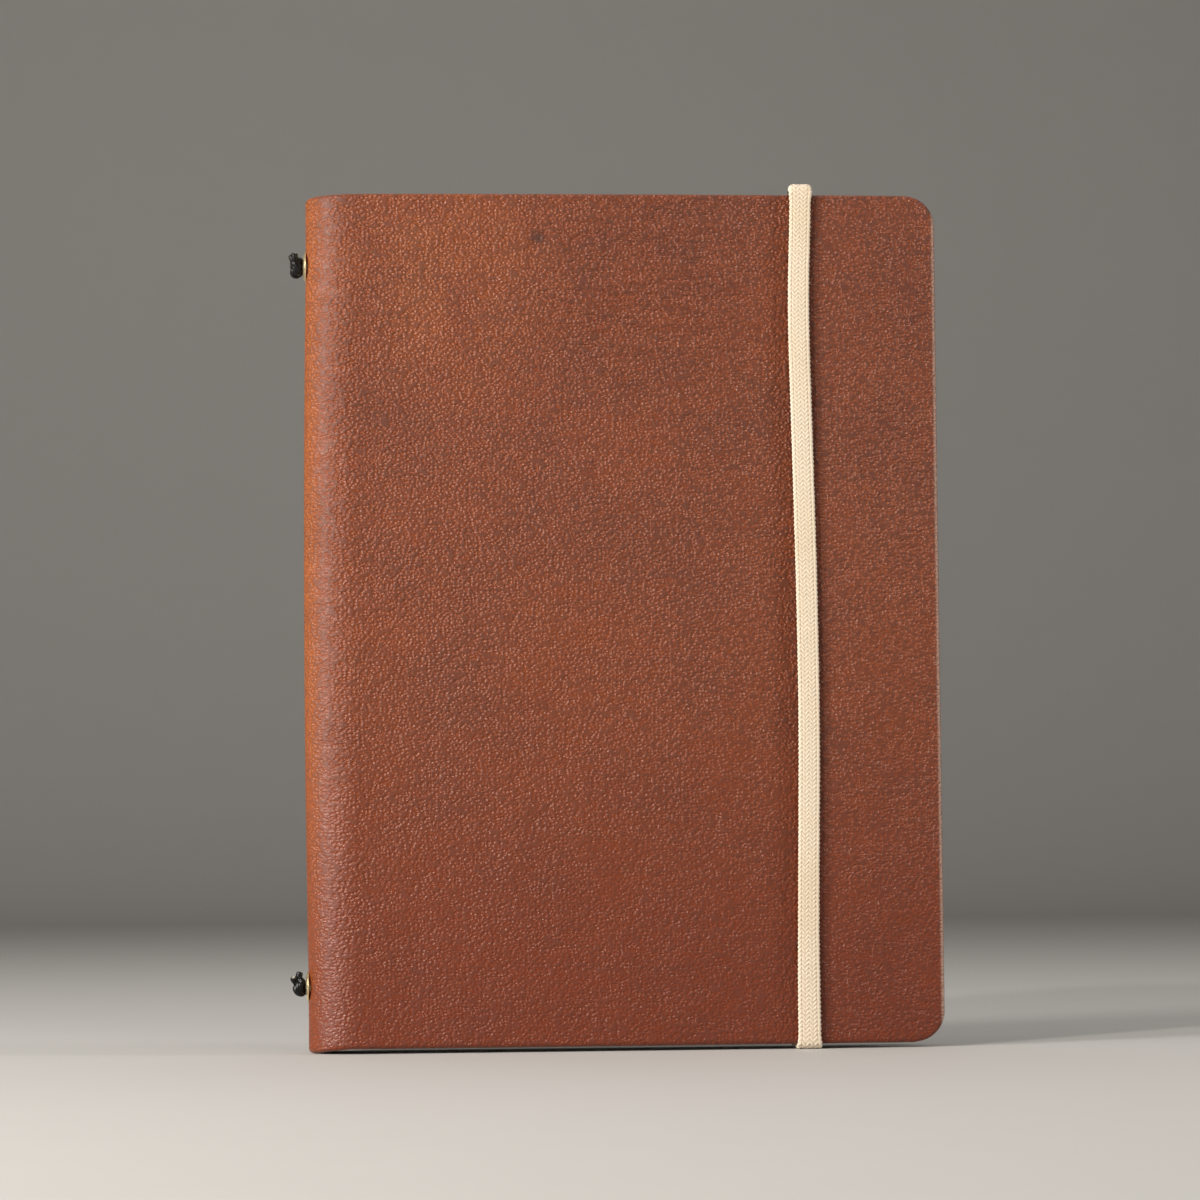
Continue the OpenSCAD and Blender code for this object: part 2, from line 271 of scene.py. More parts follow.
def leatherGrain():
    look = leatherLook
    material, tree, shader = newMaterial("leatherGrain")
    where = sheetCoordinates(tree)
    high = sheetHeight
    parts = put(tree, "ShaderNodeSeparateXYZ")
    tree.links.new(where, parts.inputs[0])

    # colour: slow mottling, then places where the hide took more or less dye, with a painted lit rim
    # along the spine and painted shade towards the bottom
    mottle = noise(tree, where, 0.05, detail=4.0, roughness=0.55, distortion=0.4)
    colour = mixColour(tree, spread(tree, mottle, 0.40, 0.70, 0.0, 0.30),
                       look["chestnut"], look["darkBrown"])
    patchy = noise(tree, where, 0.11, detail=6.0, roughness=0.65)
    tan = times(tree, nearPlace(tree, where, (26, high - 12), 34), spread(tree, patchy, 0.30, 0.62))
    colour = mixColour(tree, times(tree, tan, 0.42), colour, look["orangeTanAndLitRim"])
    # painted light: the strip round the back of the spine is lightened to orange tan
    atSpine = spread(tree, calc(tree, "ABSOLUTE", parts.outputs["X"]), 6.5, 2.0, 0.0, 0.85)
    colour = mixColour(tree, atSpine, colour, look["orangeTanAndLitRim"])
    plum = times(tree, nearPlace(tree, where, (108, high * 0.62), 42), spread(tree, patchy, 0.28, 0.70))
    colour = mixColour(tree, times(tree, plum, 0.55), colour, look["plumBrown"])
    # painted shade: the lower half is darkened and reddened towards the bottom
    paintedShadeBelow = spread(tree, parts.outputs["Y"], high * 0.5, 0.0, 0.0, 0.75)
    colour = mixColour(tree, paintedShadeBelow, colour, look["redBrownShade"])
    fineMottle = noise(tree, where, 0.42, detail=6.0, roughness=0.7)
    streaks = noise(tree, where, 0.34, detail=5.0, roughness=0.6,
                    stretch=((0.14, 1.0, 1.0), (0.0, 0.0, math.radians(-4))))
    colour = mixColour(tree, spread(tree, streaks, 0.50, 0.74, 0.0, 0.26), colour, look["darkBrown"])
    colour = mixColour(tree, spread(tree, fineMottle, 0.40, 0.72, 0.0, 0.18), colour, look["darkBrown"])

    # a dark round blemish and faint scratches in arcs
    blemish = times(tree, nearPlace(tree, where, (44.5, high - 8), 2.2),
                    spread(tree, fineMottle, 0.25, 0.55))
    colour = mixColour(tree, times(tree, blemish, 0.8), colour, look["edge"])
    scars = None
    for centre, radius in (((-4, 62), 22.0), ((56, 88), 18.0), ((84, 118), 26.0)):
        ring = put(tree, "ShaderNodeVectorMath", {1: (centre[0], centre[1], 0.0)}, operation="DISTANCE")
        tree.links.new(where, ring.inputs[0])
        off = calc(tree, "ABSOLUTE", calc(tree, "SUBTRACT", ring.outputs["Value"], radius))
        line = spread(tree, off, 0.0, 0.35, 1.0, 0.0)
        scars = line if scars is None else calc(tree, "MAXIMUM", scars, line)
    scars = times(tree, scars, spread(tree, noise(tree, where, 0.06), 0.52, 0.60))
    colour = mixColour(tree, times(tree, scars, 0.35), colour, look["darkBrown"])

    # pebble grain: uneven domes with creases between them
    wobble = put(tree, "ShaderNodeTexNoise", {"Scale": 0.6, "Detail": 1.0})
    tree.links.new(where, wobble.inputs["Vector"])
    shift = put(tree, "ShaderNodeVectorMath", {1: (0.5, 0.5, 0.5)}, operation="SUBTRACT")
    tree.links.new(wobble.outputs["Color"], shift.inputs[0])
    shifted = put(tree, "ShaderNodeVectorMath", {1: (0.35, 0.35, 0.35)}, operation="MULTIPLY_ADD")
    tree.links.new(shift.outputs[0], shifted.inputs[0])
    tree.links.new(where, shifted.inputs[2])
    squash = put(tree, "ShaderNodeMapping", {"Scale": (0.80, 1.0, 1.0)})
    tree.links.new(shifted.outputs[0], squash.inputs["Vector"])
    cells = put(tree, "ShaderNodeTexVoronoi", {"Scale": 1 / look["pebble"], "Randomness": 0.82})
    tree.links.new(squash.outputs["Vector"], cells.inputs["Vector"])
    fromTop = cells.outputs["Distance"]
    dome = spread(tree, fromTop, 0.0, 0.75, 1.0, 0.0)
    crease = spread(tree, fromTop, 0.46, 0.72)
    pores = noise(tree, where, 3.4, detail=3.0, roughness=0.7)
    worn = noise(tree, where, 0.05, detail=3.0)
    folded = noise(tree, where, 0.45, detail=4.0, roughness=0.6,
                   stretch=((0.22, 1.0, 1.0), (0.0, 0.0, math.radians(34))))
    grainAmount = times(tree, spread(tree, parts.outputs["Y"], 0.0, high * 0.7, 0.62, 1.0),
                        spread(tree, worn, 0.3, 0.65, 0.84, 1.0))
    grainAmount = times(tree, grainAmount, spread(tree, folded, 0.35, 0.6, 0.80, 1.0))
    fromSpine = calc(tree, "ABSOLUTE", parts.outputs["X"])
    grainAmount = times(tree, grainAmount, spread(tree, fromSpine, 60, 110, 1.0, 1.12))
    # painted shade: the creases between the grains are darkened in the colour
    paintedCreaseShade = times(tree, crease, look["paintedCreaseShade"])
    colour = mixColour(tree, times(tree, paintedCreaseShade, grainAmount), colour, look["edge"])
    # painted highlight: the tips of the grain are lightened in the colour
    tipHighlight = times(tree, spread(tree, fromTop, 0.50, 0.06), spread(tree, pores, 0.38, 0.66))
    tipHighlight = times(tree, tipHighlight, times(tree, grainAmount, look["tipHighlightAmount"]))
    colour = mixColour(tree, tipHighlight, colour, look["grainTipHighlight"])

    # wrinkles where the hide once folded, running down to the fore-edge
    wrinkleNoise = noise(tree, where, 0.5, detail=4.0, roughness=0.6, distortion=0.4,
                         stretch=((0.14, 1.0, 1.0), (0.0, 0.0, math.radians(32))))
    wrinkle = spread(tree, calc(tree, "ABSOLUTE", calc(tree, "SUBTRACT", wrinkleNoise, 0.5)), 0.0, 0.05)
    wrinkleMask = nearPlace(tree, where, (64, high - 16), 40)
    wrinkleSoft = times(tree, calc(tree, "SUBTRACT", 1.0, wrinkle), wrinkleMask)
    # painted shade: the recessed wrinkle lines are darkened in the colour
    colour = mixColour(tree, times(tree, wrinkleSoft, 0.16), colour, look["edge"])

    # the finish is rubbed off along the fore-edge, and the pale line there is also a painted highlight
    rubbedAndHighlight = times(tree, spread(tree, calc(tree, "ABSOLUTE", parts.outputs["X"]),
                                sheetLength - 0.80, sheetLength - 0.25),
                   spread(tree, pores, 0.34, 0.60, 0.15, 0.80))
    colour = mixColour(tree, rubbedAndHighlight, colour, look["wornEdgeAndHighlight"])

    # specks of dust
    dust = put(tree, "ShaderNodeTexVoronoi", {"Scale": 0.22, "Randomness": 1.0})
    tree.links.new(where, dust.inputs["Vector"])
    speck = spread(tree, dust.outputs["Distance"], 0.016, 0.028, 1.0, 0.0)
    colour = mixColour(tree, times(tree, speck, 0.35), colour, (0.55, 0.42, 0.34, 1))
    tree.links.new(colour, shader.inputs["Base Color"])

    rough = spread(tree, fineMottle, 0.3, 0.7, look["roughness"][0], look["roughness"][1])
    rough = calc(tree, "ADD", rough, times(tree, crease, look["creaseRoughness"]))
    tree.links.new(rough, shader.inputs["Roughness"])
    height = calc(tree, "ADD", dome, times(tree, pores, 0.5))
    height = times(tree, height, grainAmount)
    height = calc(tree, "SUBTRACT", height, times(tree, wrinkleSoft, look["wrinkles"]))
    soft = bump(tree, noise(tree, where, 0.16, detail=3.0), 0.5 * mm, 0.6)
    tree.links.new(bump(tree, height, look["pebbleDepth"] * mm, 1.0, soft), shader.inputs["Normal"])
    shader.inputs["Specular IOR Level"].default_value = look["specular"]
    shader.inputs["Coat Weight"].default_value = look["coat"]
    shader.inputs["Coat Roughness"].default_value = look["coatRoughness"]
    return material


def leatherFlesh():
    look = leatherLook
    material, tree, shader = newMaterial("leatherFlesh")
    where = sheetCoordinates(tree)
    nap = noise(tree, where, 3.2, detail=6.0, roughness=0.8,
                stretch=((1.0, 0.35, 1.0), (0.0, 0.0, 0.5)))
    cloud = noise(tree, where, 0.12, detail=4.0)
    colour = mixColour(tree, spread(tree, cloud, 0.3, 0.7), look["fleshSide"], (0.20, 0.095, 0.048, 1))
    colour = mixColour(tree, spread(tree, nap, 0.35, 0.7, 0.0, 0.45), colour, (0.36, 0.20, 0.115, 1))
    tree.links.new(colour, shader.inputs["Base Color"])
    shader.inputs["Roughness"].default_value = 0.92
    shader.inputs["Sheen Weight"].default_value = 0.25
    tree.links.new(bump(tree, nap, 0.08 * mm, 0.8), shader.inputs["Normal"])
    return material


def leatherEdge():
    look = leatherLook
    material, tree, shader = newMaterial("leatherEdge")
    where = sheetCoordinates(tree)
    fibres = noise(tree, where, 2.6, detail=5.0, roughness=0.75)
    colour = mixColour(tree, spread(tree, fibres, 0.35, 0.62), look["edge"], (0.26, 0.115, 0.066, 1))
    tree.links.new(colour, shader.inputs["Base Color"])
    tree.links.new(spread(tree, fibres, 0.3, 0.7, 0.32, 0.55), shader.inputs["Roughness"])
    tree.links.new(bump(tree, fibres, 0.06 * mm, 0.7), shader.inputs["Normal"])
    return material


leatherShape = {
    "thickness": 2.0,      # mm
    "taper": 0.8,          # degrees that each panel leans in
    "bandTaper": 1.5,      # degrees more beside the band
    "bandBendX": 84.0,     # mm from the back of the spine
    "bendReach": 9.0,      # mm that the bend takes before the panel is flat
    "cornerRadius": 5.5,   # mm, at the fore-edge
    "edgeRound": 0.6,      # mm of the sheet that the rounded edge takes
    "pillow": 0.34,        # mm that the panel crowns between the spine and the band
    "bandDip": 0.42,       # mm that the band presses into the panel
    "foreCrown": 0.16,     # mm that the strip beyond the band crowns
    "longRipple": 0.10,    # mm of slow waviness
    "shortRipple": 0.035,  # mm of quick waviness
    "spineBow": 0.55,      # mm that the spine bows out between the eyelets
    "spineDrop": 0.85,     # mm that the bend hangs lower than the panels at the foot
    "topDrop": 0.2,        # mm that its top edge falls away towards the spine
}


def sheetProfile():
    # the middle of the leather seen from above, from the back of the spine to the fore-edge
    shape = leatherShape
    half = shape["thickness"] / 2
    taper = math.radians(shape["taper"])
    around = np.linspace(0, math.pi / 2, 900)
    bendX = half + (shape["bendReach"] - half) * (1 - np.cos(around))
    bendY = (bendRadius - half) * np.sin(around)
    flatX = np.linspace(shape["bendReach"], 130, 6000)[1:]
    x, y = np.concatenate([bendX, flatX]), np.concatenate([bendY, np.full(len(flatX), bendY[-1])])
    run = np.concatenate([[0], np.cumsum(np.hypot(np.diff(x), np.diff(y)))])
    turn = np.arctan2(np.gradient(y, run), np.gradient(x, run))
    # each panel leans in a little, and more beside the band
    turn = turn - taper * smooth(run / run[900])
    bandBend = run[900] + shape["bandBendX"] - shape["bendReach"]
    turn = turn - math.radians(shape["bandTaper"]) * smooth((run - bandBend + 4) / 8)
    step = 0.02
    even = np.arange(0, 128, step)
    turn = np.interp(even, run, turn)
    x = half + np.concatenate([[0], np.cumsum(np.cos(turn[:-1]) * step)])
    y = np.concatenate([[0], np.cumsum(np.sin(turn[:-1]) * step)])
    last = int(np.searchsorted(x, coverHigh.x - spineBack))
    return even[:last], x[:last], y[:last], turn[:last]


profileRun, profileX, profileY, profileTurn = sheetProfile()
sheetLength = profileRun[-1]
bandRun = float(np.interp((bandLow.x + bandHigh.x) / 2 - spineBack, profileX, profileRun))


def sheetPoint(run, height, offset, side):
    # a point of the leather: run along the sheet, height above its bottom, offset outwards
    shape = leatherShape
    x = np.interp(run, profileRun, profileX)
    y = np.interp(run, profileRun, profileY)
    turn = np.interp(run, profileRun, profileTurn)
    overEnd = np.maximum(run - sheetLength, 0)
    x = x + overEnd * np.cos(turn)
    y = y + overEnd * np.sin(turn)
    crown = smooth((run - 12) / 30) * smooth((bandRun - 3 - run) / 22) * shape["pillow"]
    crown = crown + shape["foreCrown"] * np.exp(-((run - bandRun - 10) / 7) ** 2)
    crown = crown - shape["bandDip"] * np.exp(-((run - bandRun + 0.6) / 3.0) ** 2)
    crown = crown * (0.6 + 0.4 * np.sin(np.pi * np.clip(height / sheetHeight, 0, 1)))
    seed = 5 if side < 0 else 9
    away = smooth((run - 9) / 14) * (1 - np.exp(-((run - bandRun) / 4.5) ** 2))
    crown = crown + shape["longRipple"] * away * ripple(run, height, seed, 46)
    crown = crown + shape["shortRipple"] * away * ripple(run, height, seed + 1, 15)
    offset = offset + crown
    x = x - np.sin(turn) * offset
    y = y + np.cos(turn) * offset
    atSpine = 1 - smooth(run / 13)
    fromMiddle = (height + sheetBottom - middleZ) / (0.42 * sheetHeight)
    x = x - atSpine * shape["spineBow"] * np.clip(1 - fromMiddle ** 2, 0, 1)
    drop = shape["spineDrop"] * (1 - smooth(run / 11)) * smooth(1 - height / 26)
    drop = drop + shape["topDrop"] * (1 - smooth(run / 15)) * smooth(1 - (sheetHeight - height) / 26)
    z = sheetBottom + height - drop
    return np.stack([spineBack + x, side * y, z], axis=-1)


def leatherHalf(name, side, material):
    shape = leatherShape
    half = shape["thickness"] / 2
    corner = shape["cornerRadius"]
    nearEdge = np.array([0, 0.05, 0.13, 0.25, 0.42, 0.65, 0.95])
    runs = np.concatenate([np.linspace(0, 11, 30), np.arange(11.8, sheetLength - 1.6, 0.85),
                           sheetLength - nearEdge[::-1]])
    lowRows = np.concatenate([nearEdge, np.arange(1.4, 7.4, 0.5)])
    rows = np.concatenate([lowRows, np.arange(8.2, sheetHeight - 7.9, 0.95), sheetHeight - lowRows[::-1]])
    run, height = np.meshgrid(runs, rows)
    # rows in the rounded corners end sooner
    intoCorner = np.maximum(corner - np.minimum(height, sheetHeight - height), 0)
    shorter = corner - np.sqrt(np.maximum(corner ** 2 - intoCorner ** 2, 0))
    squeezeFrom = sheetLength - 3 * corner
    share = np.clip((run - squeezeFrom) / (3 * corner), 0, 1)
    run = np.where(run > squeezeFrom, squeezeFrom + share * (3 * corner - shorter), run)
    # distance to the nearest edge gives the rounded edge
    fromEdge = np.minimum(np.minimum(height, sheetHeight - height), sheetLength - run)
    inCorner = (intoCorner > 0) & (run > sheetLength - corner)
    cornerDistance = corner - np.hypot(run - (sheetLength - corner), intoCorner)
    fromEdge = np.where(inCorner, cornerDistance, fromEdge)
    closing = 1 - np.clip(np.maximum(fromEdge, 0) / shape["edgeRound"], 0, 1)
    thick = half * (1 - 0.36 * closing ** 1.9)

    outer = sheetPoint(run, height, thick, side).reshape(-1, 3)
    inner = sheetPoint(run, height, -thick, side).reshape(-1, 3)
    count = outer.shape[0]
    index = np.arange(count).reshape(run.shape)
    faces = [gridFaces(index, flip=side > 0), gridFaces(index + count, flip=side < 0)]
    kinds = [np.zeros(len(faces[0]), int), np.ones(len(faces[1]), int)]
    points = [outer, inner]
    flat = np.stack([-side * run.ravel(), height.ravel()], axis=1) / 100
    uv = [flat, flat]

    # the burnished edge, from the outer face round to the inner one
    border = np.concatenate([index[0, :], index[1:, -1], index[-1, -2::-1]])
    borderRun, borderHeight = run.ravel()[border], height.ravel()[border]
    borderThick = thick.ravel()[border]
    outRun = np.zeros(len(border))
    outHeight = np.zeros(len(border))
    outHeight[:run.shape[1]] = -1
    outHeight[-run.shape[1]:] = 1
    outRun[run.shape[1]:-run.shape[1]] = 1
    rings = [border]
    base = 2 * count
    for level, push in ((0.62, 0.11), (0.0, 0.17), (-0.62, 0.11)):
        points.append(sheetPoint(borderRun + outRun * push, borderHeight + outHeight * push,
                                 borderThick * level, side))
        uv.append(np.stack([-side * (borderRun + 1 - level), borderHeight + level], axis=1) / 100)
        rings.append(np.arange(base, base + len(border)))
        base += len(border)
    rings.append(border + count)
    edgeFaces = gridFaces(np.array(rings), flip=side < 0)
    faces.append(edgeFaces)
    kinds.append(np.full(len(edgeFaces), 2))
    piece = meshFrom(name, np.vstack(points), np.vstack(faces), np.vstack(uv), material,
                     np.concatenate(kinds))
    return piece


leatherMaterials = [leatherGrain(), leatherFlesh(), leatherEdge()]
frontLeather = leatherHalf("front_leather", -1, leatherMaterials)
backLeather = leatherHalf("back_leather", 1, leatherMaterials)
eyeletZ = {"upper": nodeMiddle("upper_eyelet").z, "lower": nodeMiddle("lower_eyelet").z}
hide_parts("front_cover", "spine")
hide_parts("back_cover", "spine")


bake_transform(frontLeather)
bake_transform(backLeather)
print("leather done")

# ---- brass eyelets and washers

brassLook = {
    "bright": (0.96, 0.82, 0.50, 1),
    "dull": (0.80, 0.62, 0.32, 1),
    "roughness": (0.30, 0.48),
    "segments": 96,
}


def brass():
    look = brassLook
    material, tree, shader = newMaterial("brass")
    place = put(tree, "ShaderNodeTexCoord").outputs["Object"]
    tarnish = noise(tree, place, 900.0, detail=5.0, roughness=0.65)
    colour = mixColour(tree, spread(tree, tarnish, 0.50, 0.78), look["bright"], look["dull"])
    tree.links.new(colour, shader.inputs["Base Color"])
    shader.inputs["Metallic"].default_value = 1.0
    scratches = noise(tree, place, 2600.0, detail=3.0, roughness=0.6,
                      stretch=((1.0, 0.12, 1.0), (0.3, 0.0, 0.6)))
    tree.links.new(spread(tree, scratches, 0.3, 0.75, look["roughness"][0], look["roughness"][1]),
                   shader.inputs["Roughness"])
    tree.links.new(bump(tree, scratches, 0.012 * mm, 0.5), shader.inputs["Normal"])
    return material


def turned(name, profile, z, material):
    # profile is a closed outline of (x from the back of the spine, radius), turned about X
    profile = np.vstack([profile, profile[:1]])
    segments = brassLook["segments"]
    angles = np.linspace(0, math.tau, segments, endpoint=False)
    ring, angle = np.meshgrid(np.arange(len(profile) - 1), angles, indexing="ij")
    radius = profile[ring, 1]
    points = np.stack([spineBack + profile[ring, 0],
                       radius * np.cos(angle), z + radius * np.sin(angle)], -1)
    index = np.arange(points.shape[0] * segments).reshape(points.shape[0], segments)
    index = np.vstack([index, index[:1]])
    index = np.hstack([index, index[:, :1]])
    return meshFrom(name, points.reshape(-1, 3), gridFaces(index), materials=[material])


def rounded(points, radius):
    # softens each corner of a closed outline
    points = np.array(points, float)
    result = []
    for i, point in enumerate(points):
        before = points[i - 1] - point
        after = points[(i + 1) % len(points)] - point
        reach = min(radius, np.linalg.norm(before) * 0.45, np.linalg.norm(after) * 0.45)
        a = point + before / np.linalg.norm(before) * reach
        b = point + after / np.linalg.norm(after) * reach
        for t in np.linspace(0, 1, 5):
            result.append((1 - t) ** 2 * a + 2 * t * (1 - t) * point + t ** 2 * b)
    return result


brassMaterial = brass()
eyeletShape = {
    "bore": 1.5,       # mm, all radii but the seat
    "barrel": 1.8,
    "flange": 2.8,
    "rolled": 2.15,
    "seat": 0.1,       # mm that the flange sits into the leather
}


def eyeletPiece(name, z):
    size = eyeletShape
    low, high = [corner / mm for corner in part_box(name)]
    face, back = low.x - spineBack, high.x - spineBack
    outline = [(face + 0.22, size["bore"]), (face, size["bore"] + 0.45), (face, size["flange"] - 0.75),
               (size["seat"] - 0.18, size["flange"]), (size["seat"], size["flange"] - 0.05),
               (size["seat"], size["barrel"]), (back - 0.25, size["barrel"]),
               (back - 0.25, size["rolled"]), (back - 0.05, size["rolled"] - 0.15),
               (back, size["bore"] + 0.2), (back - 0.1, size["bore"])]
    piece = turned(name + "_brass", rounded(outline, 0.22), z, brassMaterial)
    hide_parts(name)
    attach(piece, "spine")


def washerPiece(name, z):
    low, high = [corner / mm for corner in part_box(name)]
    near, far = low.x - spineBack, high.x - spineBack
    outer, inner = (high.z - low.z) / 2, eyeletShape["barrel"] + 0.05
    outline = [(near, inner), (far, inner), (far, outer), (near, outer)]
    piece = turned(name + "_brass", rounded(outline, 0.12), z, brassMaterial)
    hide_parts(name)
    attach(piece, "spine")


for level in ("upper", "lower"):
    eyeletPiece(level + "_eyelet", eyeletZ[level])
    washerPiece(level + "_eyelet_washer", eyeletZ[level])
print("eyelets done")

# ---- round braided cord and its knots

cordLook = {
    "radius": 0.68,           # mm
    "carriers": 8,            # strands that cross in each direction
    "pitch": 1.5,             # mm along the cord for one strand's width
    "relief": 0.085,          # mm
    "strand": (0.0030, 0.0030, 0.0034, 1),
    "worn": (0.0075, 0.0073, 0.0072, 1),
    "cutEnd": (0.62, 0.58, 0.50, 1),
}


def cordBraid():
    look = cordLook
    material, tree, shader = newMaterial("cordBraid")
    relief = put(tree, "ShaderNodeAttribute", attribute_name="relief").outputs["Fac"]
    where = sheetCoordinates(tree)
    fibres = noise(tree, where, 6.0, detail=4.0, roughness=0.7)
    high = times(tree, spread(tree, relief, 0.45, 1.0), spread(tree, fibres, 0.3, 0.7))
    tree.links.new(mixColour(tree, high, look["strand"], look["worn"]), shader.inputs["Base Color"])
    shader.inputs["Roughness"].default_value = 0.27
    shader.inputs["Specular IOR Level"].default_value = 0.25
    tree.links.new(bump(tree, fibres, 0.03 * mm, 0.8), shader.inputs["Normal"])
    return material


def cordCut():
    look = cordLook
    material, tree, shader = newMaterial("cordCut")
    place = put(tree, "ShaderNodeTexCoord").outputs["Object"]
    threads = put(tree, "ShaderNodeTexVoronoi", {"Scale": 5200.0})
    tree.links.new(place, threads.inputs["Vector"])
    colour = mixColour(tree, spread(tree, threads.outputs["Distance"], 0.1, 0.5),
                       look["cutEnd"], (0.20, 0.18, 0.16, 1))
    tree.links.new(colour, shader.inputs["Base Color"])
    shader.inputs["Roughness"].default_value = 0.45
    tree.links.new(bump(tree, threads.outputs["Distance"], 0.06 * mm, 0.8), shader.inputs["Normal"])
    return material


cordMaterials = [cordBraid(), cordCut()]


def braidedTube(name, path, around=28, capStart=False, capEnd=False, radius=None):
    look = cordLook
    radius = radius or look["radius"]
    _, side, lift = sweepFrames(path)
    steps = np.linalg.norm(np.diff(path, axis=0), axis=1)
    run = np.concatenate([[0], np.cumsum(steps)])
    angles = np.linspace(0, math.tau, around, endpoint=False)
    along, angle = np.meshgrid(run, angles, indexing="ij")
    left = np.sin(angle * look["carriers"] / 2 + along * math.pi / look["pitch"] * 2)
    right = np.sin(angle * look["carriers"] / 2 - along * math.pi / look["pitch"] * 2)
    relief = np.maximum(np.abs(left), np.abs(right)) ** 1.5
    # each strand passes over and under in turn
    over = np.where(np.abs(left) > np.abs(right), 1.0, 0.82)
    swell = radius + look["relief"] * (relief * over - 0.8)
    if capEnd:
        swell = swell * np.sqrt(np.clip(1 - (np.maximum(along - run[-1] + 0.3, 0) / 0.42) ** 2, 0.05, 1))
    points = (path[:, None, :] + side[:, None, :] * (np.cos(angle) * swell)[..., None]
              + lift[:, None, :] * (np.sin(angle) * swell)[..., None])
    index = np.arange(len(path) * around).reshape(len(path), around)
    wrapped = np.hstack([index, index[:, :1]])
    faces = gridFaces(wrapped).tolist()
    kinds = [0] * len(faces)
    flat = points.reshape(-1, 3)
    uv = np.stack([angle.ravel() * radius, along.ravel()], axis=1) / 100
    extra, extraUv, extraRelief = [], [], []
    for closed, ring, tip in ((capStart, index[0], path[0]), (capEnd, index[-1], path[-1])):
        if not closed:
            continue
        centre = len(flat) + len(extra)
        extra.append(tip)
        extraUv.append((0.0, 0.0))
        extraRelief.append(0.5)
        for i in range(around):
            faces.append([ring[i], ring[(i + 1) % around], centre])
            kinds.append(1)
    if extra:
        flat = np.vstack([flat, extra])
        uv = np.vstack([uv, extraUv])
    reliefs = np.concatenate([relief.ravel(), extraRelief])
    return meshFrom(name, flat, faces, uv, cordMaterials, kinds, {"relief": reliefs})


def knotPath(centre, tilt, tall):
    # a tight closed overhand turn: three lobes that pass over and under each other
    t = np.linspace(0, math.tau, 200)
    lobes = np.stack([-np.sin(3 * t) * 0.56,
                      (np.sin(t) + 2 * np.sin(2 * t)) * 0.40,
                      (np.cos(t) - 2 * np.cos(2 * t)) * 0.44 * tall], axis=1)
    spin = np.array(Matrix.Rotation(math.radians(tilt), 3, "X"))
    return lobes @ spin.T + np.array(centre)


def knotWrap(centre, tilt):
    # two turns drawn tight round the middle of the knot
    t = np.linspace(0, 2 * math.tau, 150)
    coil = np.stack([np.linspace(-0.34, 0.30, len(t)), 0.72 * np.cos(t), 0.95 * np.sin(t)], axis=1)
    spin = np.array(Matrix.Rotation(math.radians(tilt), 3, "X"))
    return coil @ spin.T + np.array(centre)


knotShape = {
    "strand": 0.66,           # mm, radius of the cord where it is drawn tight
    "upper": {"tilt": 24, "tall": 1.12, "ends": [((-0.5, 0.3, 1.2), (-1.0, 0.7, 2.3)),
                                                ((-0.2, -0.6, 1.1), (-0.35, -0.95, 2.5))]},
    "lower": {"tilt": -38, "tall": 1.05, "ends": [((-0.1, 0.2, 1.2), (0.1, 0.5, 2.6)),
                                                 ((-0.6, -0.5, 0.7), (-1.15, -1.1, 1.7))]},
}


def knotPiece(level):
    shape = knotShape[level]
    low, high = [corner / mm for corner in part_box(level + "_knot")]
    centre = Vector(((low.x + high.x) / 2 + 0.27, 0, eyeletZ[level]))
    strand = knotShape["strand"]
    turns = knotPath(centre, shape["tilt"], shape["tall"])
    parts = [braidedTube(level + "_knot_turns", turns, radius=strand),
             braidedTube(level + "_knot_wrap", knotWrap(centre, shape["tilt"] - 50), radius=strand,
                         capStart=True, capEnd=True)]
    for number, (root, tip) in enumerate(shape["ends"]):
        root, tip = np.array(centre) + root, np.array(centre) + tip
        bow = (root + tip) / 2 + np.array([-0.08, 0.06, 0.03])
        parts.append(braidedTube(f"{level}_knot_end_{number + 1}", evenPath([root, bow, tip], 0.06),
                                 capEnd=True, radius=strand * 0.92))
    neck = [[x, 0, centre.z] for x in (centre.x + 0.3, spineBack - 0.3, spineBack + 0.6)]
    parts.append(braidedTube(level + "_knot_neck", evenPath(neck, 0.08)))
    for part in parts:
        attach(part, "spine")
    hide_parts(level + "_knot")


for level in ("upper", "lower"):
    knotPiece(level)


def refillCord():
    # in through the eyelets, over the head and tail of the refill and down its fold
    radius = cordLook["radius"]
    backRun = spineBack + 3.6
    foldRun = cordHigh.x - 0.7
    head, tail = cordHigh.z - 0.7, cordLow.z + 0.7
    turn = (foldRun - backRun) / 2
    middle = (foldRun + backRun) / 2
    upper, lower = eyeletZ["upper"], eyeletZ["lower"]
    route = [(spineBack + 0.4, 0, upper), (spineBack + 2.0, 0, upper)]
    for angle in (20, 45, 70, 90):
        a = math.radians(angle)
        route.append((backRun - 0.95 + 0.95 * math.sin(a), 0, upper + 0.95 - 0.95 * math.cos(a)))
    for angle in (180, 150, 120, 90, 60, 30, 0):
        a = math.radians(angle)
        route.append((middle + turn * math.cos(a), 0, head - turn + turn * math.sin(a)))
    for z in np.linspace(head - turn - 6, tail + turn + 6, 12):
        route.append((foldRun, 0, z))
    for angle in (0, -30, -60, -90, -120, -150, -180):
        a = math.radians(angle)
        route.append((middle + turn * math.cos(a), 0, tail + turn + turn * math.sin(a)))
    for angle in (90, 70, 45, 20):
        a = math.radians(angle)
        route.append((backRun - 0.95 + 0.95 * math.sin(a), 0, lower - 0.95 + 0.95 * math.cos(a)))
    route += [(spineBack + 2.0, 0, lower), (spineBack + 0.4, 0, lower)]
    piece = braidedTube("refill_cord_braid", evenPath(route, 0.16), around=20, radius=radius)
    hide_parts("refill_cord")
    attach(piece, "spine")


refillCord()
print("cord and knots done")

# ---- closure band: a flat herringbone braid

